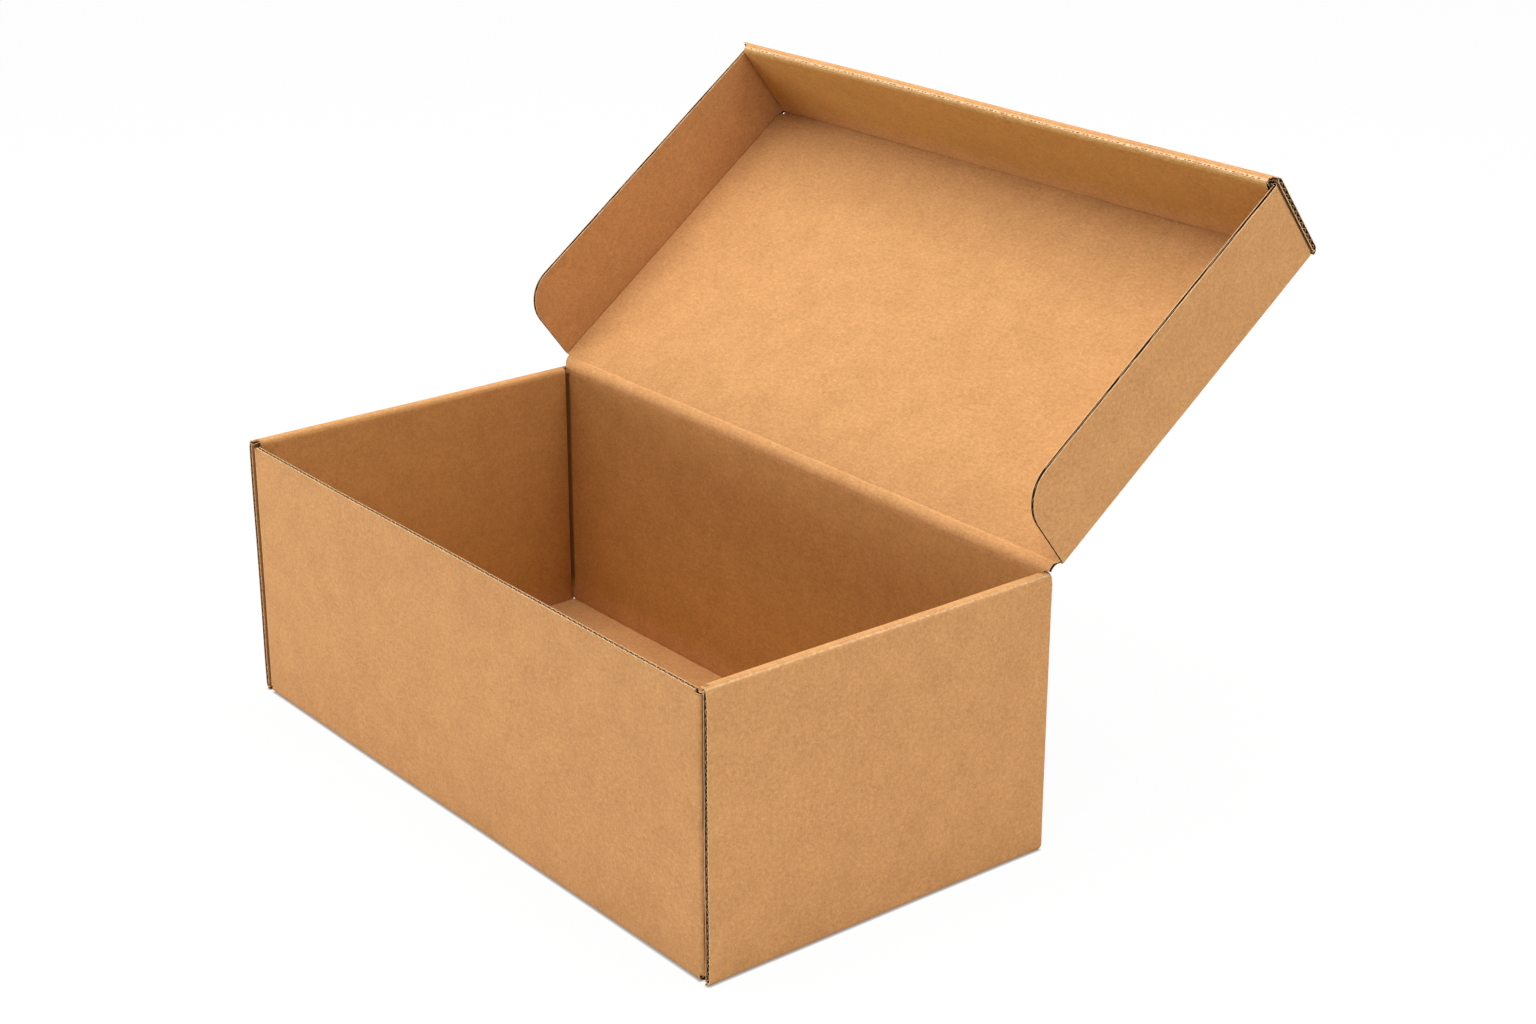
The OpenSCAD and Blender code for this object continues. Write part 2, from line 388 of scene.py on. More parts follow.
def lid_sheet():
    fold_x, fold_y = LID_X - FOLD_OUT, LID_LEN - FOLD_OUT
    sheet = flat_sheet("lid_sheet", (0, -fold_y), (fold_x, -WING_START), 0)
    pick("edges", lambda m, e: near(m.y, -WING_START))
    draw_out((0, WING_START - SHOULDER, 0))
    pick("verts", lambda m, v: near(m.y, -SHOULDER) and m.x > TINY)
    bpy.ops.transform.translate(value=(HINGE_X - fold_x, 0, 0))
    cut((0, 1, 0), [-WING_END])

    pick("edges", lambda m, e: near(m.y, -fold_y))
    draw_out(
        *fold((0, -1, 0), (0, 0, -1)),
        (0, 0, -BESIDE),
        (0, 0, -(FRONT_H - 2 * FOLD_OUT - 2 * BESIDE)),
        (0, 0, -BESIDE),
        *fold((0, 0, -1), (0, 1, 0)),
        (0, ROLL - 2 * FOLD_OUT, 0),
        *fold((0, 1, 0), (0, 0, 1)),
        (0, 0, BESIDE),
        (0, 0, FRONT_H - FOLD_OUT - BOARD - GAP - BESIDE),
    )
    outer_y = -LID_LEN + HALF
    inner_y = -LID_LEN + ROLL - HALF

    def rolled_in(m):
        return (-fold_y + TINY < m.y < inner_y + TINY
                and m.z < -HALF and m.x < fold_x + TINY)

    bend_y = outer_y + CREASE
    pick("edges", lambda m, e: near(m.x, fold_x) and e.is_boundary
         and (m.y < bend_y or m.y < -fold_y - TINY and near(m.z, 0)))
    draw_out((LID_X + FRONT_PROUD - fold_x, 0, 0))
    cut((1, 0, 0), [INNER_X], lambda m, f: rolled_in(m))
    drop(lambda m, f: rolled_in(m) and m.x > INNER_X)

    pick("edges", lambda m, e: near(m.x, fold_x) and near(m.z, 0)
         and -WING_END < m.y < -WING_START)
    draw_out(
        *fold((1, 0, 0), (0, 0, -1)),
        (0, 0, WING_FLAP_TOP - HALF + FOLD_OUT),
        (0, 0, WING_FOOT - WING_FLAP_TOP),
    )
    wing_x = LID_X - HALF
    pick("edges", lambda m, e: near(m.x, wing_x) and near(m.y, -WING_END)
         and m.z < WING_FLAP_TOP - TINY)
    draw_out(
        *corner_fold((0, -1, 0), (-1, 0, 0), WING_BEND), (-BESIDE, 0, 0),
        (HALF + WING_BEND + BESIDE - WING_FLAP, 0, 0),
    )
    flap_end = LID_X - WING_FLAP
    pick("verts", lambda m, v: near(m.x, flap_end) and near(m.y, -WING_END - WING_BEND))
    middle = (WING_FLAP_TOP + WING_FOOT) / 2
    shrink = 1 - FLAP_TAPER / ((WING_FLAP_TOP - WING_FOOT) / 2)
    bpy.ops.transform.resize(value=(1, 1, shrink), center_override=(flap_end, 0, middle))
    pick("verts", lambda m, v: near(m.x, wing_x) and near(m.y, -WING_START)
         and near(m.z, WING_FOOT))
    bpy.ops.mesh.bevel(
        affect="VERTICES", offset=WING_CORNER, segments=CORNER_STEPS, profile=0.5,
    )

    tab_ends = [LID_TAB[0] - LID_TAB[1], LID_TAB[0] + LID_TAB[1]]
    inner_foot = -HALF - GAP
    cut((1, 0, 0), tab_ends, lambda m, f: near(m.y, inner_y))
    pick("edges", lambda m, e: near(m.y, inner_y) and near(m.z, inner_foot)
         and tab_ends[0] < m.x < tab_ends[1])
    draw_out((0, 0, HALF - TAB_TIP - inner_foot))
    slot_x = (tab_ends[0] - SLOT_CLEAR, tab_ends[1] + SLOT_CLEAR)
    slot_y = (inner_y - HALF - SLOT_CLEAR, inner_y + HALF + SLOT_CLEAR)
    hole_x = tuple(INNER_X + side for side in HOLE_X)
    hole_y = tuple(-LID_LEN + ROLL + side for side in HOLE_Y)
    cut((1, 0, 0), slot_x + hole_x, lambda m, f: near(m.z, 0))
    cut((0, 1, 0), slot_y + hole_y, lambda m, f: near(m.z, 0))
    drop(lambda m, f: near(m.z, 0) and (
        slot_x[0] < m.x < slot_x[1] and slot_y[0] < m.y < slot_y[1]
        or hole_x[0] < m.x < hole_x[1] and hole_y[0] < m.y < hole_y[1]))

    cut((1, 0, 0), COLUMNS + [fold_x - BESIDE])
    cut((0, 1, 0), spaced(-LID_LEN + ROLL, -WING_START - WING_CORNER, PANEL_STEP))
    cut((0, 1, 0), [BESIDE - fold_y, BESIDE - WING_END])
    cut((0, 0, 1), spaced(WING_FOOT + WING_CORNER, WING_FLAP_TOP, PANEL_STEP))
    second = -SECOND_CREASE
    cut((0, 1, 0), [second - CREASE_W, second, second + CREASE_W], lambda m, f: near(m.z, 0))
    pick("verts", lambda m, v: near(m.y, second) and near(m.z, 0) and m.x < fold_x - BESIDE / 2)
    bpy.ops.transform.translate(value=(0, 0, CREASE_DEEP))
    done()
    mirrored(sheet)
    tidy_normals(sheet)
    return sheet


# Row of slots in the lid's front: lengths and gaps in mm, places in metres
SLOT_SEED = 12
SLOT_LONG = (0.5, 2.3)
SLOT_APART = (0.6, 0.8, 1.1, 1.6, 2.4)
SLOT_SIDES = (0.3 * MM, 0.75 * MM)
SLOTS_FROM = 4 * MM
SLOTS_TO = 5 * MM


def pierced_roll(sheet):
    """Cuts the row of slots that lets the lid's front roll over along its inner crease."""
    low = -LID_LEN + ROLL - FOLD_OUT
    high = low + FOLD_MID - CREASE

    def crease(m):
        return low < m.y < high and near(m.z, FRONT_FOOT + HALF)

    hand = random.Random(SLOT_SEED)
    x = -INNER_X + SLOTS_FROM
    slots = []
    while x < INNER_X - SLOTS_TO:
        size = hand.uniform(*SLOT_LONG) * MM
        slots.append((x, x + size))
        x += size + hand.choice(SLOT_APART) * MM
    edit(sheet)
    sides = tuple(low + side for side in SLOT_SIDES)
    cut((0, 1, 0), sides, lambda m, f: crease(m))
    for ends in slots:
        cut((1, 0, 0), ends, lambda m, f: crease(m)
            and ends[0] - FLUTE < m.x < ends[1] + PANEL_STEP)
    drop(lambda m, f: crease(m) and sides[0] < m.y < sides[1]
         and any(a < m.x < b for a, b in slots))
    done()


def opened(piece):
    """Turns a piece of the shut lid to where the photo shows it."""
    piece.data.transform(Matrix.Translation(HINGE) @ Matrix.Rotation(-OPEN, 4, "X"))


def first_edge(name, start, end):
    """A plane cut down to one edge between two places, from which board or fluting is drawn."""
    clear_selection()
    bpy.ops.mesh.primitive_plane_add(size=1)
    piece = bpy.context.object
    piece.name = piece.data.name = name
    bpy.ops.object.mode_set(mode="EDIT")
    pick("verts", lambda m, v: m.y > 0)
    bpy.ops.mesh.delete(type="VERT")
    mesh = bmesh.from_edit_mesh(piece.data)
    for vert, place in zip(mesh.verts, (start, end)):
        vert.co = place
    pick("edges", lambda m, e: True)
    return piece


# Hinge: the back wall bends over into the lid in one soft fold, and steps out above the tray

# Turns at and beside the step, in radians
STEP_TURN = 0.07
CLEAR_BEFORE_STEP = 0.03
CLEAR_AFTER_STEP = 0.1


def hinge_fold():
    start = Vector((0, HINGE.y, FRONT_TOP))
    edge = Vector((HINGE_FOOT_X, 0, 0))
    piece = first_edge("hinge_fold", start - edge, start + edge)
    lean = OPEN - math.pi / 2
    reach = SHOULDER - HINGE_FLAT
    radius = reach / math.tan(lean / 2)
    step_out = math.asin((TRAY_H + HINGE_STEP - HINGE.z + reach) / radius)
    turns = [lean * i / HINGE_TURNS for i in range(HINGE_TURNS + 1)]
    clear = [a for a in turns if not -CLEAR_BEFORE_STEP < a - step_out < CLEAR_AFTER_STEP]
    at = [start]
    for a in sorted(clear + [step_out, step_out + STEP_TURN]):
        at.append(HINGE + Vector((0, radius * (1 - math.cos(a)), radius * math.sin(a) - reach)))
    at.append(HINGE + SHOULDER * Vector((0, math.sin(lean), math.cos(lean))))
    low, high = TRAY_H + HINGE_STEP + TINY, at[-1].z
    for i in range(1, len(at)):
        draw_out(at[i] - at[i - 1])
    pick("verts", lambda m, v: m.z > low and m.x > 0)
    bpy.ops.transform.translate(value=(HINGE_X - HINGE_FOOT_X, 0, 0))
    for p in at:
        if p.z > low:
            left_x = HINGE_LEFT_X + (HINGE_X - HINGE_LEFT_X) * (p.z - low) / (high - low)
            pick("verts", lambda m, v: near(m.z, p.z) and near(m.y, p.y) and m.x < 0)
            bpy.ops.transform.translate(value=(HINGE_FOOT_X - left_x, 0, 0))
    cut((1, 0, 0), [0] + COLUMNS + [-x for x in COLUMNS])
    done()
    tidy_normals(piece)
    return piece, at[0], at[-1]


# Fluting: the wavy paper seen between the liners at each raw edge

NOISE_ROW = 3.7
NOISE_LAYER = 0.4
DRIFT = 2.6
DRIFT_LENGTH = 9 * MM
JITTER = 0.5
JITTER_PITCH = 90
SWELL = 0.1


def bent_line(start, *steps):
    """Points along a bent raw edge: a start, then steps that each go on from the last point."""
    at = [Vector(start)]
    for step in steps:
        at.append(at[-1] + Vector(step))
    return at


def fluting(name, line, inward, across=None, wander=0, thick=FLARED):
    """Draws fluting along a raw edge: waves across the flutes, or a slow drift along them."""
    inward = Vector(inward)
    wave = thick / 2 - LINER - FLUTE_PAPER / 2
    row = len(name) * NOISE_ROW
    fine = []
    for a, b in zip(line, line[1:]):
        count = max(1, math.ceil((b - a).length / (FLUTE / FLUTE_POINTS)))
        fine += [a.lerp(b, i / count) for i in range(count)]
    fine.append(line[-1])
    places, run = [], 0.0
    for i, place in enumerate(fine):
        before, after = fine[max(0, i - 1)], fine[min(len(fine) - 1, i + 1)]
        out = Vector(across) if across else inward.cross(after - before).normalized()
        step = place - before
        if wander:
            run += step.length
            drift = DRIFT * noise.noise(Vector((run / wander, row, NOISE_LAYER)))
            shift = max(-1, min(1, drift))
        else:
            run += (step - inward * step.dot(inward)).length
            jitter = JITTER * noise.noise(Vector((run * JITTER_PITCH, row, NOISE_LAYER)))
            shift = math.sin(2 * math.pi * run / FLUTE + jitter) * (1 - SWELL + SWELL * jitter)
        places.append(place + out * wave * shift)
    deep = inward * FLUTE_DEPTH
    piece = first_edge(name, places[0], places[0] + deep)
    draw_out(*[b - a for a, b in zip(places, places[1:])])
    done()
    return piece


def tray_fluting():
    rim_z = FRONT_TOP - RIM_FLUTE_INSET
    rim = fluting(
        "rim_fluting",
        [Vector((-FULL_RIM_X, HALF - FRONT_Y, rim_z)),
         Vector((FULL_RIM_X, HALF - FRONT_Y, rim_z))],
        (0, 0, -1), thick=RIM_FLARED,
    )
    outer = fluting(
        "side_end_fluting",
        bent_line((SIDE_X - FOLD_OUT, EDGE_INSET + FLUTE_INSET - FRONT_Y, HALF),
                  *fold((1, 0, 0), (0, 0, 1)), (0, 0, TRAY_H - 2 * FOLD_OUT - BESIDE)),
        (0, 1, 0),
    )
    inner = fluting(
        "inner_end_fluting",
        [Vector((SIDE_X - ROLL + HALF, FLUTE_INSET - INNER_Y, TRAY_H - FOLD_OUT - BESIDE)),
         Vector((SIDE_X - ROLL + HALF, FLUTE_INSET - INNER_Y, FLOOR_TOP))],
        (0, 1, 0), thick=BOARD,
    )
    ends = joined("side_fluting", [outer, inner])
    mirrored(ends, y=True)
    return joined("tray_fluting", [rim, ends])


def lid_fluting():
    wing_x = LID_X - HALF
    front_x = LID_X + FRONT_PROUD - FLUTE_INSET
    roll_x, roll_y = INNER_X - FLUTE_INSET, ROLL - HALF - LID_LEN
    free_z = WING_FOOT + FLUTE_INSET
    turns = [math.pi / 2 * i / CORNER_STEPS for i in range(CORNER_STEPS + 1)]
    corner = [
        (0, WING_CORNER * (math.cos(b) - math.cos(a)), WING_CORNER * (math.sin(a) - math.sin(b)))
        for a, b in zip(turns, turns[1:])
    ]
    rear = fluting(
        "wing_rear_fluting",
        bent_line((LID_X - FOLD_OUT, -WING_START - FLUTE_INSET, 0),
                  *fold((1, 0, 0), (0, 0, -1)),
                  (0, 0, free_z + WING_CORNER + FOLD_MID), *corner[:-2]),
        (0, -1, 0), thick=WING_FLARED,
    )
    free = fluting(
        "wing_free_fluting",
        [Vector((wing_x, -WING_START - WING_CORNER, free_z)),
         Vector((wing_x, -WING_END, free_z))],
        (0, 0, 1), across=(1, 0, 0), wander=DRIFT_LENGTH, thick=WING_FLARED,
    )
    outer = fluting(
        "front_end_fluting",
        [Vector((front_x, HALF - LID_LEN, -FOLD_MID)),
         Vector((front_x, HALF - LID_LEN, FRONT_FOOT + FOLD_OUT))],
        (-1, 0, 0),
    )
    inner = fluting(
        "roll_end_fluting",
        [Vector((roll_x, roll_y, FRONT_FOOT + FOLD_OUT + BESIDE)),
         Vector((roll_x, roll_y, -HALF - GAP))],
        (-1, 0, 0), thick=BOARD,
    )
    fluted = joined("lid_fluting", [rear, free, outer, inner])
    mirrored(fluted)
    return fluted


# Handled board is never dead flat: pitch, size in mm and start of each wave, then where it is held
SLOW_WAVE = (9, 0.42, Vector((3.1, 7.7, 1.3)))
SHORT_WAVE = (30, 0.1, Vector((9.4, 2.2, 5.8)))
HINGE_WAVE = (55, 0.3, Vector((1.9, 4.4, 8.2)))
HINGE_WAVE_REACH = 9 * MM
FLOOR_HOLD = 30 * MM
SPRUNG_FROM, SPRUNG_OVER = 0.7, 0.3
FOOT_HOLD = 12 * MM
TOP_HOLD = 8 * MM


def waved(place, wave):
    pitch, size, start = wave
    return noise.noise_vector(place * pitch + start) * size * MM


def uneven(piece):
    """Shifts the board a little, the same way at the same place."""
    outward = Vector((0, math.sin(OPEN), math.cos(OPEN)))
    for vert in piece.data.vertices:
        place = vert.co.copy()
        shift = waved(place, SLOW_WAVE) + waved(place, SHORT_WAVE)
        away = math.hypot(place.y - HINGE.y, place.z - HINGE.z)
        shift += waved(place, HINGE_WAVE) * math.exp(-(away / HINGE_WAVE_REACH) ** 2)
        shift += outward * max(0, -RIM_ROOM - shift.dot(outward))
        shift.z *= max(0, min(1, place.z / FLOOR_HOLD))
        if abs(place.x) > SIDE_X - BOARD and place.z < TRAY_H:
            end = max(0, -place.y / FRONT_Y - SPRUNG_FROM) / SPRUNG_OVER
            from_foot = (place.z - FOLD_OUT) / FOOT_HOLD
            from_top = (TRAY_H - FOLD_OUT - place.z) / TOP_HOLD
            free = max(0, min(1, from_foot, from_top))
            shift.x += math.copysign(SPRUNG * end ** 2 * free, place.x)
        vert.co = place + shift
    piece.data.update()


# Marks on the board: where bends and stretches of painted shade begin, and shares of worn paper and
# of painted shade inside
SLIGHT_BEND, FULL_BEND = math.radians(4), math.radians(14)
TRAY_SHADE_FROM, LID_SHADE_FROM, SHADE_OVER = 44, 30, 20
CREASE_SHADE_FROM, CREASE_SHADE_OVER = 7, 10
RUBBED_EDGE, RUBBED_ROLL, RUBBED_BENDS = 1.0, 1.35, 0.9
INSIDE_SHADE_AT_RIM = 0.45
SLIT_FROM = 0.4 * MM
SLIT_END_SHADE = 0.85


def rising(value, start, over):
    """Nought up to the start, then rising to one."""
    return max(0.0, min(1.0, (value - start) / over))


def flare_beyond(away, flared=FLARED):
    """How thick the board is at a distance from a raw edge: a cut lets the liners spring apart."""
    return BOARD + (flared - BOARD) * max(0, 1 - away / FLARE_REACH) ** 2


def soft_corner(p):
    """The upright corners of the tray bend without being crushed."""
    return (WALL_X - TINY < abs(p.x) < FLAP_X + TINY and abs(p.y) > FRONT_Y - HALF - CORNER - TINY
            and p.z > FLAP_FOOT - FLAP_PLAY)


def turned(along, across):
    """How far round its corner a point of a fold lies, in degrees."""
    return math.degrees(math.atan2(max(0, across), max(0, along)))


def tray_thickness(p):
    if near(abs(p.x), FLAP_X) and abs(p.y) < FRONT_Y - HALF - CORNER - TINY:
        return PRESSED
    if soft_corner(p):
        return BOARD + (PRESSED - BOARD) * ((FRONT_Y - HALF - abs(p.y)) / CORNER) ** 2
    if p.y < HALF - FRONT_Y + TINY and abs(p.x) < WALL_X + TINY:
        return flare_beyond(FRONT_TOP - p.z, RIM_FLARED)
    if abs(p.x) > SIDE_X - BOARD and p.z < TRAY_H - FOLD_OUT:
        return flare_beyond(FRONT_Y - EDGE_INSET - abs(p.y))
    return BOARD


def lid_thickness(p):
    flap_y, flap_x = -WING_END - WING_BEND, LID_X - HALF - WING_BEND
    if near(p.y, flap_y) and abs(p.x) < flap_x + TINY and p.z < -HALF:
        return PRESSED
    if near(abs(p.x), LID_X - HALF) and p.y > -WING_END - TINY:
        down, back = p.z - WING_FOOT, -WING_START - p.y
        if down < WING_CORNER and back < WING_CORNER:
            away = WING_CORNER - math.hypot(WING_CORNER - down, WING_CORNER - back)
            return flare_beyond(away, WING_FLARED)
        return flare_beyond(min(down, back), WING_FLARED)
    if near(p.z, FRONT_FOOT + HALF) and p.y > -LID_LEN + ROLL / 2:
        return CRUSHED
    if near(p.y, HALF - LID_LEN):
        return flare_beyond(LID_X + FRONT_PROUD - abs(p.x))
    return BOARD


def tray_rubbed(p):
    bend = HALF + CREASE - TINY
    return RUBBED_EDGE if p.z > TRAY_H - bend and abs(p.x) > SIDE_X - bend else 0.0


def lid_rubbed(p):
    bend = HALF + CREASE + TINY
    if p.z > FRONT_FOOT + bend or p.y < -LID_LEN + ROLL / 2 or abs(p.x) > INNER_X:
        return 0.0
    return RUBBED_ROLL if near(p.z, FRONT_FOOT + HALF) else RUBBED_BENDS


# Painted shade: darkens the far side of each folded corner, and round the notch at its top
def tray_painted_shade(p):
    middle_y = FRONT_Y - HALF - CORNER
    notch = near(p.z, FLAP_TOP) and abs(p.y) > middle_y - TINY
    if notch and FULL_RIM_X - TINY < abs(p.x) < FLAP_X + TINY:
        return 1.0
    on_flap = FLAP_FOOT - FLAP_PLAY <= p.z <= FLAP_TOP + FLAP_PLAY
    if not on_flap or not WALL_X <= abs(p.x) <= FLAP_X + TINY:
        return 0.0
    if near(abs(p.x), SIDE_X - ROLL + HALF) and abs(p.y) < INNER_Y + TINY:
        return 0.0
    return rising(turned(abs(p.y) - middle_y, abs(p.x) - WALL_X), TRAY_SHADE_FROM, SHADE_OVER)


# Painted shade: darkens the far side of the fold at each wing's end
def lid_painted_shade(p):
    middle_x = LID_X - HALF - WING_BEND
    on_bend = -WING_END - WING_BEND - TINY <= p.y <= -WING_END
    if not on_bend or not WING_FOOT - TINY <= p.z <= -BOARD:
        return 0.0
    return rising(turned(abs(p.x) - middle_x, -WING_END - p.y), LID_SHADE_FROM, SHADE_OVER)


def nowhere(p):
    return 0.0


def plain_thickness(p):
    return BOARD


def mark_board(piece, thickness, rubbed, painted_shade, crushed=True):
    """Notes how thick the board is, thin where a bend crushed it, its rubbed places, and where
    shade is painted in its corners.
    """
    mesh = bmesh.new()
    mesh.from_mesh(piece.data)
    thick = piece.vertex_groups.new(name="board")
    worn, corner_shade, bent = [], [], []
    for vert in mesh.verts:
        angles = [edge.calc_face_angle(0) for edge in vert.link_edges if len(edge.link_faces) == 2]
        bend = max(angles, default=0)
        size = thickness(vert.co)
        if crushed and bend > SLIGHT_BEND and not soft_corner(vert.co):
            size = CRUSHED if bend > FULL_BEND else (CRUSHED + BOARD) / 2
        thick.add([vert.index], size / FLARED, "REPLACE")
        worn.append(rubbed(vert.co))
        corner_shade.append(painted_shade(vert.co))
        scored = (near(vert.co.z, 0, CREASE_DEEP + TINY)
                  and near(vert.co.y, -SECOND_CREASE, CREASE_W + TINY))
        bent.append(1.0 if bend > FULL_BEND and not scored else 0.0)
    mesh.free()
    for name, values in (("rubbed", worn), ("painted_shade", corner_shade), ("bent", bent)):
        piece.data.attributes.new(name, "FLOAT", "POINT").data.foreach_set("value", values)


def note_shade(piece, inside, slit):
    """Notes painted shade where a finished piece folds inwards, lies in a slit or corner, and
    inside.
    """
    mesh = bmesh.new()
    mesh.from_mesh(piece.data)
    corner_shade = [item.value for item in piece.data.attributes["painted_shade"].data]
    bent = [item.value for item in piece.data.attributes["bent"].data]
    painted_shade_share, inside_shade = [], []
    # Painted shade: dark lines along inward bends, joined with the painted corner and slit shade
    for vert in mesh.verts:
        bends = [edge.calc_face_angle_signed(0) for edge in vert.link_edges
                 if len(edge.link_faces) == 2]
        inward = -math.degrees(min(bends, default=0))
        crease_shade = bent[vert.index] * rising(inward, CREASE_SHADE_FROM, CREASE_SHADE_OVER)
        painted_shade_share.append(max(corner_shade[vert.index], crease_shade, slit(vert.co)))
        inside_shade.append(inside(vert.co))
    mesh.free()
    for name, values in (("painted_shade_share", painted_shade_share), ("inside_shade", inside_shade)):
        piece.data.attributes.new(name, "FLOAT", "POINT").data.foreach_set("value", values)


# Painted shade inside the tray: part of it at the rim, full at the floor
def tray_inside_shade(p):
    if p.z < 2 * BOARD or abs(p.x) > SIDE_X - ROLL + HALF or abs(p.y) > FRONT_Y - HALF:
        return 0.0
    return min(1.0, INSIDE_SHADE_AT_RIM + (1 - INSIDE_SHADE_AT_RIM) * (1 - p.z / TRAY_H))


def as_shut(p):
    """Where a point of the opened lid lies from the hinge when the lid is shut."""
    return Matrix.Rotation(OPEN, 4, "X") @ (p - HINGE)


# Painted shade on the inner face of the lid's front
def lid_inside_shade(p):
    shut = as_shut(p)
    on_roll = -HALF < shut.y + LID_LEN - ROLL < HALF and shut.z < -BOARD
    return 1.0 if on_roll and abs(shut.x) < INNER_X + HALF else 0.0


def tray_slit_shade(p):
    """Painted shade in the corner hollows, behind the ends of the inner side panels."""
    behind_panel = WALL_X - BESIDE / 2 < abs(p.x) < SIDE_X - BOARD
    in_corner = INNER_Y + SLIT_FROM < abs(p.y) < FRONT_Y - HALF and p.z > 2 * BOARD
    return 1.0 if behind_panel and in_corner else 0.0


def lid_slit_shade(p):
    """Painted shade on the inner liner of the lid's front, in the slit beside each wing."""
    shut = as_shut(p)
    behind = shut.y + LID_LEN - HALF
    if not HALF / 2 < behind < FLARED or not FRONT_FOOT + FOLD_OUT < shut.z < -FOLD_OUT / 2:
        return 0.0
    return SLIT_END_SHADE if abs(shut.x) > LID_X - BOARD else 1.0


def boarded(sheet, painted_shade):
    """Gives a folded sheet its two liners, with air between them for the flutes."""
    modify(sheet, "SOLIDIFY", thickness=FLARED, offset=0, use_even_offset=True, use_rim=False,
           vertex_group="board")
    # The liners' faces towards the flutes take the painted shade paper
    for paper in (KRAFT, CUT, painted_shade):
        sheet.data.materials.append(paper)
    modify(sheet, "SOLIDIFY", thickness=LINER, offset=-1, use_even_offset=True, use_rim=True,
           material_offset=2, material_offset_rim=1)


def smooth(piece, angle=40):
    choose(piece)
    bpy.ops.object.shade_smooth_by_angle(angle=math.radians(angle))


# Finishes

KRAFT_DARK, KRAFT_LIGHT = (0.37, 0.168, 0.054), (0.765, 0.405, 0.163)
CUT_DARK, CUT_LIGHT = (0.6, 0.36, 0.17), (0.84, 0.58, 0.34)
# Flute paper and the liners' faces towards it: painted shade, near-black for the flute channels,
# lighter in the tray
FLUTE_SHADE_DARK, FLUTE_SHADE_LIGHT = (0.06, 0.028, 0.012), (0.13, 0.062, 0.026)
TRAY_HOLLOW_SHADE_DARK, TRAY_HOLLOW_SHADE_LIGHT = (0.15, 0.072, 0.03), (0.27, 0.14, 0.062)
FLUTE_EDGE_DARK, FLUTE_EDGE_LIGHT = (0.26, 0.14, 0.06), (0.5, 0.3, 0.15)
SPECK, SPECK_SHARE = (0.3, 0.13, 0.045), 0.3
RUBBED_PAPER, RUBBED_POWER = (0.88, 0.63, 0.38), 2.5
# Tint of the painted shade inside the tray and on the inner face of the lid's front
INSIDE_SHADE_TINT = (0.83, 0.84, 0.6)
# Near-black paper painted where shade falls in corners, slits and inward bends
SHADE_PAPER, SHADE_POWER, SHADE_SHARE = (0.12, 0.05, 0.018), 1.4, 0.85
PAPER_SHINE = 0.18
PAPER_GRAIN = 0.035 * MM


def new_material(name):
    mat = bpy.data.materials.new(name)
    mat.use_nodes = True
    return mat, mat.node_tree.nodes, mat.node_tree.links


class Paper:
    """Paper-making helpers: each adds a node and hands back the socket it gives."""

    def __init__(self, name):
        self.mat, self.nodes, self.links = new_material(name)
        self.shader = self.nodes["Principled BSDF"]
        self.shader.inputs["Specular IOR Level"].default_value = PAPER_SHINE
        self.place = self.nodes.new("ShaderNodeTexCoord").outputs["Object"]

    def stretched(self, scale):
        node = self.nodes.new("ShaderNodeVectorMath")
        node.operation = "MULTIPLY"
        node.inputs[1].default_value = scale
        self.links.new(self.place, node.inputs[0])
        return node.outputs[0]

    def grain(self, scale, detail=3, rough=0.6, stretch=(1, 1, 1)):
        node = self.nodes.new("ShaderNodeTexNoise")
        node.inputs["Scale"].default_value = scale
        node.inputs["Detail"].default_value = detail
        node.inputs["Roughness"].default_value = rough
        place = self.place if stretch == (1, 1, 1) else self.stretched(stretch)
        self.links.new(place, node.inputs["Vector"])
        return node.outputs["Fac"]

    def ramp(self, value, low, high, bottom=0.0, top=1.0):
        node = self.nodes.new("ShaderNodeMapRange")
        ends = {"From Min": low, "From Max": high, "To Min": bottom, "To Max": top}
        for key, number in ends.items():
            node.inputs[key].default_value = number
        self.links.new(value, node.inputs["Value"])
        return node.outputs["Result"]

    def maths(self, kind, a, b):
        node = self.nodes.new("ShaderNodeMath")
        node.operation = kind
        for socket, value in zip(node.inputs, (a, b)):
            if isinstance(value, (int, float)):
                socket.default_value = value
            else:
                self.links.new(value, socket)
        return node.outputs[0]

    def mix(self, share, a, b):
        node = self.nodes.new("ShaderNodeMix")
        node.data_type = "RGBA"
        for key, value in ((0, share), (6, a), (7, b)):
            if isinstance(value, (int, float)):
                node.inputs[key].default_value = value
            elif isinstance(value, tuple):
                node.inputs[key].default_value = value + (1,)
            else:
                self.links.new(value, node.inputs[key])
        return node.outputs[2]

    def tinted(self, share, colour, tint):
        made = self.mix(share, colour, tint)
        made.node.blend_type = "MULTIPLY"
        return made

    def mark(self, name):
        node = self.nodes.new("ShaderNodeAttribute")
        node.attribute_name = name
        return node.outputs["Fac"]

    # Paints shade in corners, slits and inward bends with near-black paper
    def in_painted_shade(self, colour):
        painted_shade_share = self.maths("POWER", self.mark("painted_shade_share"), SHADE_POWER)
        return self.mix(self.maths("MULTIPLY", painted_shade_share, SHADE_SHARE), colour, SHADE_PAPER)

    def finish(self, colour, rough, height=None):
        self.links.new(colour, self.shader.inputs["Base Color"])
        self.shader.inputs["Roughness"].default_value = rough
        if height is not None:
            bump = self.nodes.new("ShaderNodeBump")
            bump.inputs["Strength"].default_value = 1.0
            bump.inputs["Distance"].default_value = PAPER_GRAIN
            self.links.new(height, bump.inputs["Height"])
            self.links.new(bump.outputs[0], self.shader.inputs["Normal"])
        return self.mat


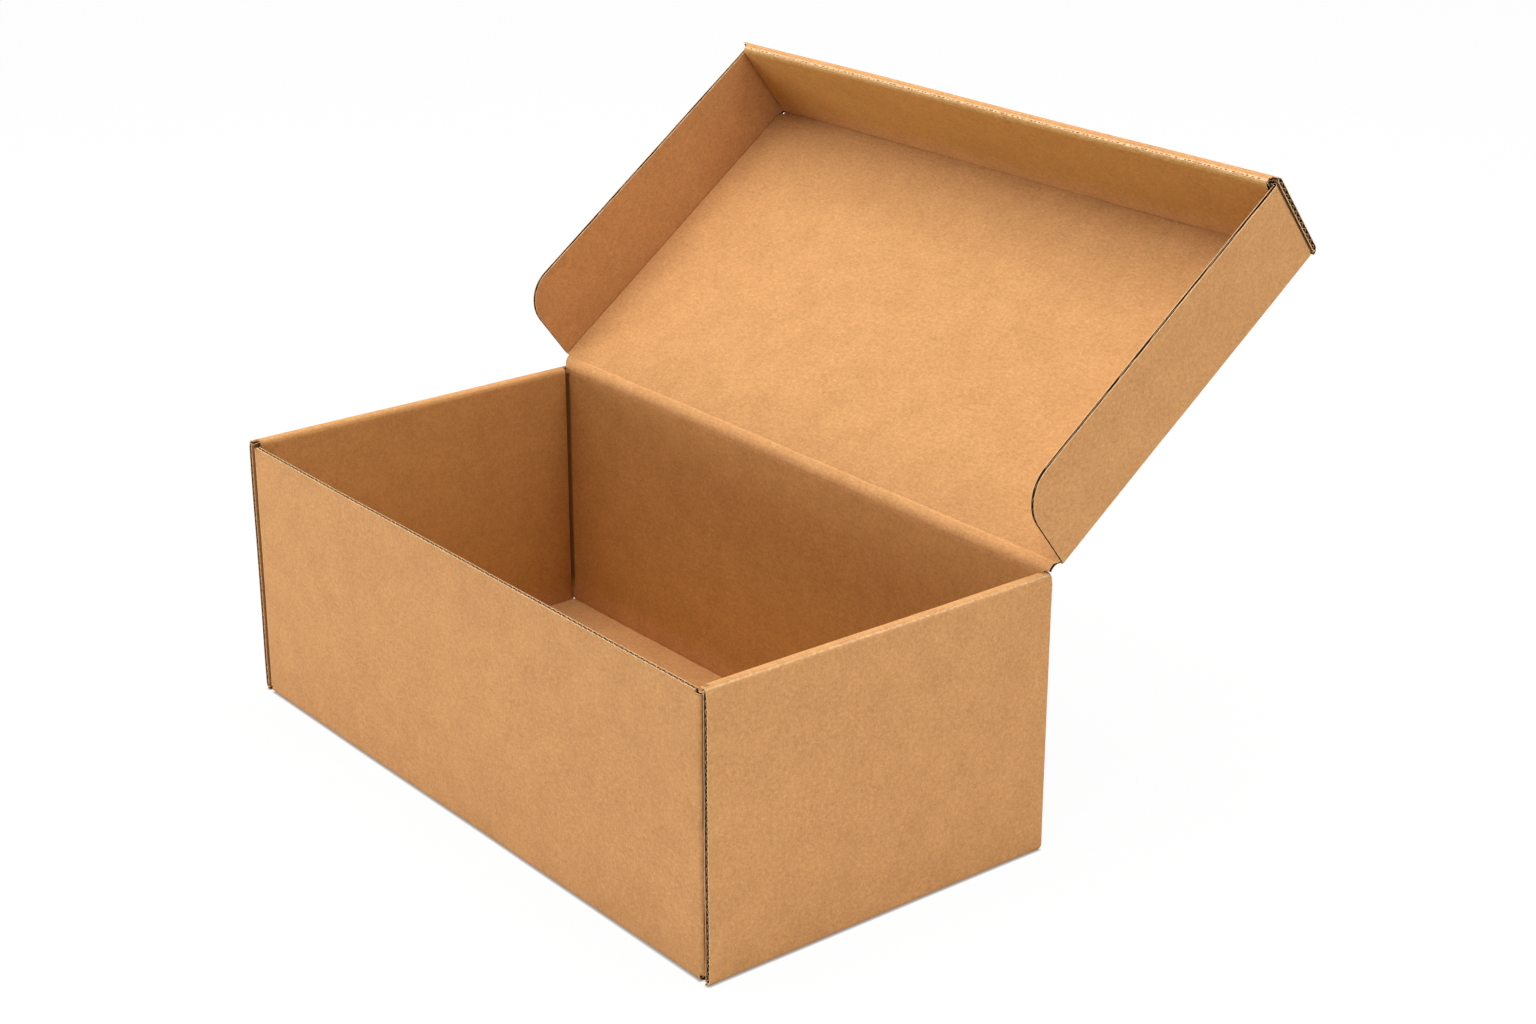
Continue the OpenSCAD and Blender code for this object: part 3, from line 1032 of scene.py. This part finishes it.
def kraft_board():
    paper = Paper("kraft_board")
    cloud = paper.grain(75, 4, 0.6)
    fibre = paper.grain(1, 4, 0.7, (420, 1000, 1000))
    cross = paper.grain(1, 3, 0.7, (1000, 520, 520))
    pulp = paper.grain(1500, 3, 0.7)
    tone = paper.ramp(cloud, 0.3, 0.7, 0, 0.16)
    tone = paper.maths("ADD", tone, paper.ramp(fibre, 0.32, 0.68, 0, 0.3))
    tone = paper.maths("ADD", tone, paper.ramp(cross, 0.3, 0.7, 0, 0.26))
    tone = paper.maths("ADD", tone, paper.ramp(pulp, 0.3, 0.7, 0, 0.28))
    colour = paper.mix(tone, KRAFT_DARK, KRAFT_LIGHT)
    speck = paper.ramp(paper.grain(650, 1, 0.4), 0.735, 0.77)
    colour = paper.mix(paper.maths("MULTIPLY", speck, SPECK_SHARE), colour, SPECK)
    flecks = paper.ramp(paper.grain(1, 3, 0.7, (600, 600, 1300)), 0.44, 0.62, 0.1, 0.42)
    worn = paper.maths("POWER", paper.mark("rubbed"), RUBBED_POWER)
    colour = paper.mix(paper.maths("MULTIPLY", worn, flecks), colour, RUBBED_PAPER)
    # Painted shade inside the tray and on the inner face of the lid's front
    colour = paper.tinted(paper.mark("inside_shade"), colour, INSIDE_SHADE_TINT)
    colour = paper.in_painted_shade(colour)
    raised = paper.maths("MULTIPLY", fibre, 0.7)
    height = paper.maths("ADD", raised, paper.maths("MULTIPLY", pulp, 0.5))
    return paper.finish(colour, 0.82, height)


def cut_paper():
    paper = Paper("cut_paper")
    tone = paper.ramp(paper.grain(900, 3, 0.6), 0.3, 0.7)
    return paper.finish(paper.mix(tone, CUT_DARK, CUT_LIGHT), 0.95)


def flute_paper(name, dark, light):
    paper = Paper(name)
    tone = paper.ramp(paper.grain(700, 3, 0.6), 0.3, 0.7)
    return paper.finish(paper.mix(tone, dark, light), 0.92)


KRAFT, CUT = kraft_board(), cut_paper()
FLUTE_IN_SHADE = flute_paper("flute_paper", FLUTE_SHADE_DARK, FLUTE_SHADE_LIGHT)
TRAY_HOLLOW_SHADE = flute_paper("tray_painted_shade", TRAY_HOLLOW_SHADE_DARK, TRAY_HOLLOW_SHADE_LIGHT)
FLUTE_EDGE = flute_paper("flute_edge", FLUTE_EDGE_DARK, FLUTE_EDGE_LIGHT)


# Pieces

def seat(piece, body):
    if body:
        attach(piece, body)


def make_tray():
    sheet = tray_sheet()
    mark_board(sheet, tray_thickness, tray_rubbed, tray_painted_shade)
    uneven(sheet)
    boarded(sheet, TRAY_HOLLOW_SHADE)
    note_shade(sheet, tray_inside_shade, tray_slit_shade)
    smooth(sheet)
    seat(sheet, "tray")
    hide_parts("tray")


def make_lid():
    sheet = lid_sheet()
    pierced_roll(sheet)
    mark_board(sheet, lid_thickness, lid_rubbed, lid_painted_shade)
    opened(sheet)
    uneven(sheet)
    boarded(sheet, FLUTE_IN_SHADE)
    note_shade(sheet, lid_inside_shade, lid_slit_shade)
    smooth(sheet)
    seat(sheet, "lid")
    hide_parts("lid")


def make_fluting():
    for piece, body in ((tray_fluting(), "tray"), (lid_fluting(), "lid")):
        if body == "lid":
            opened(piece)
        tidy_normals(piece)
        uneven(piece)
        # The fluting's faces are painted near-black as shade between the liners; its cut edges keep
        # their own light colour
        piece.data.materials.append(FLUTE_IN_SHADE)
        piece.data.materials.append(FLUTE_EDGE)
        modify(piece, "SOLIDIFY", thickness=FLUTE_PAPER, offset=0, use_even_offset=True,
               material_offset_rim=1)
        smooth(piece, angle=60)
        seat(piece, body)


def make_hinge():
    piece, start, end = hinge_fold()
    mark_board(piece, plain_thickness, nowhere, nowhere, crushed=False)
    uneven(piece)
    boarded(piece, FLUTE_IN_SHADE)
    note_shade(piece, nowhere, nowhere)
    smooth(piece)
    seat(piece, None)
    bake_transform(piece)


make_tray()
make_lid()
make_fluting()
make_hinge()


# Stage: a white floor and background as seen, with a painted contact shadow only where the box
# stands

FLOOR_WHITE = (0.9, 0.9, 0.9, 1)
CONTACT_SHADOW_REACH = 1.4 * MM
CONTACT_SAMPLES = 12
CONTACT_SHADOW_TINT = (0.26, 0.21, 0.17, 1)
CONTACT_SHADOW_POWER = 1.6
GLOW_SHARE = 0.965
WHITE = (1, 1, 1, 1)
SKY_LIGHT = 0.05


def seen_ray(nodes, links):
    """One where a surface is looked at, straight or in a shine, and nought for other rays."""
    path = nodes.new("ShaderNodeLightPath")
    seen = path.outputs["Is Camera Ray"]
    for way in ("Is Glossy Ray", "Is Transmission Ray"):
        either = nodes.new("ShaderNodeMath")
        either.operation = "MAXIMUM"
        links.new(seen, either.inputs[0])
        links.new(path.outputs[way], either.inputs[1])
        seen = either.outputs[0]
    return seen


def pale_floor():
    mat, nodes, links = new_material("pale_floor")
    shader = nodes["Principled BSDF"]
    shader.inputs["Base Color"].default_value = FLOOR_WHITE
    shader.inputs["Roughness"].default_value = 1.0
    shader.inputs["Specular IOR Level"].default_value = 0.0
    clear_selection()
    bpy.ops.mesh.primitive_plane_add(size=30, location=(0, 0, 0))
    floor = bpy.context.object
    floor.name = "floor"
    floor.data.materials.append(mat)
    # Painted contact shadow: the floor's glow darkens where the box stands close
    shade = nodes.new("ShaderNodeAmbientOcclusion")
    shade.inputs["Distance"].default_value = CONTACT_SHADOW_REACH
    shade.samples = CONTACT_SAMPLES
    tint = nodes.new("ShaderNodeMix")
    tint.data_type = "RGBA"
    tint.inputs[6].default_value = CONTACT_SHADOW_TINT
    tint.inputs[7].default_value = WHITE
    painted_shadow = nodes.new("ShaderNodeMath")
    painted_shadow.operation = "POWER"
    painted_shadow.inputs[1].default_value = CONTACT_SHADOW_POWER
    links.new(shade.outputs["AO"], painted_shadow.inputs[0])
    links.new(painted_shadow.outputs[0], tint.inputs[0])
    glow = nodes.new("ShaderNodeEmission")
    links.new(tint.outputs[2], glow.inputs["Color"])
    glow.inputs["Strength"].default_value = 1.0
    mix = nodes.new("ShaderNodeMixShader")
    share = nodes.new("ShaderNodeMath")
    share.operation = "MULTIPLY"
    share.inputs[1].default_value = GLOW_SHARE
    links.new(seen_ray(nodes, links), share.inputs[0])
    links.new(share.outputs[0], mix.inputs["Fac"])
    links.new(shader.outputs[0], mix.inputs[1])
    links.new(glow.outputs[0], mix.inputs[2])
    links.new(mix.outputs[0], nodes["Material Output"].inputs["Surface"])


def lamp(name, place, aim, size, power):
    light = bpy.data.lights.new(name, "AREA")
    light.shape = "RECTANGLE"
    light.size, light.size_y = size
    light.energy = power
    stand = bpy.data.objects.new(name, light)
    bpy.context.scene.collection.objects.link(stand)
    stand.visible_camera = False
    stand.location = place
    stand.rotation_euler = (Vector(aim) - Vector(place)).to_track_quat("-Z", "Y").to_euler()


def studio_light():
    box, foot = (0, 0, 0.1), (0, 0, 0.06)
    lamp("top_softbox", (0, -0.2, 2.0), box, (1.8, 1.8), 43.5)
    lamp("rear_softbox", (0, 0.9, 1.8), box, (1.8, 1.2), 19)
    lamp("left_softbox", (-1.2, -1.2, 1.6), box, (1.5, 1.5), 9.5)
    lamp("front_strip", (-1.3, -1.55, 0.22), foot, (1.6, 0.4), 14.5)
    lamp("side_strip", (1.95, 0.3, 0.5), foot, (2.0, 0.5), 13.2)
    world = bpy.data.worlds.new("studio")
    bpy.context.scene.world = world
    world.use_nodes = True
    nodes, links = world.node_tree.nodes, world.node_tree.links
    soft = nodes["Background"]
    soft.inputs["Color"].default_value = WHITE
    soft.inputs["Strength"].default_value = SKY_LIGHT
    white = nodes.new("ShaderNodeBackground")
    white.inputs["Color"].default_value = WHITE
    white.inputs["Strength"].default_value = 1.0
    mix = nodes.new("ShaderNodeMixShader")
    links.new(seen_ray(nodes, links), mix.inputs["Fac"])
    links.new(soft.outputs[0], mix.inputs[1])
    links.new(white.outputs[0], mix.inputs[2])
    links.new(mix.outputs[0], nodes["World Output"].inputs["Surface"])


pale_floor()
studio_light()
bpy.context.scene.view_settings.view_transform = "Standard"
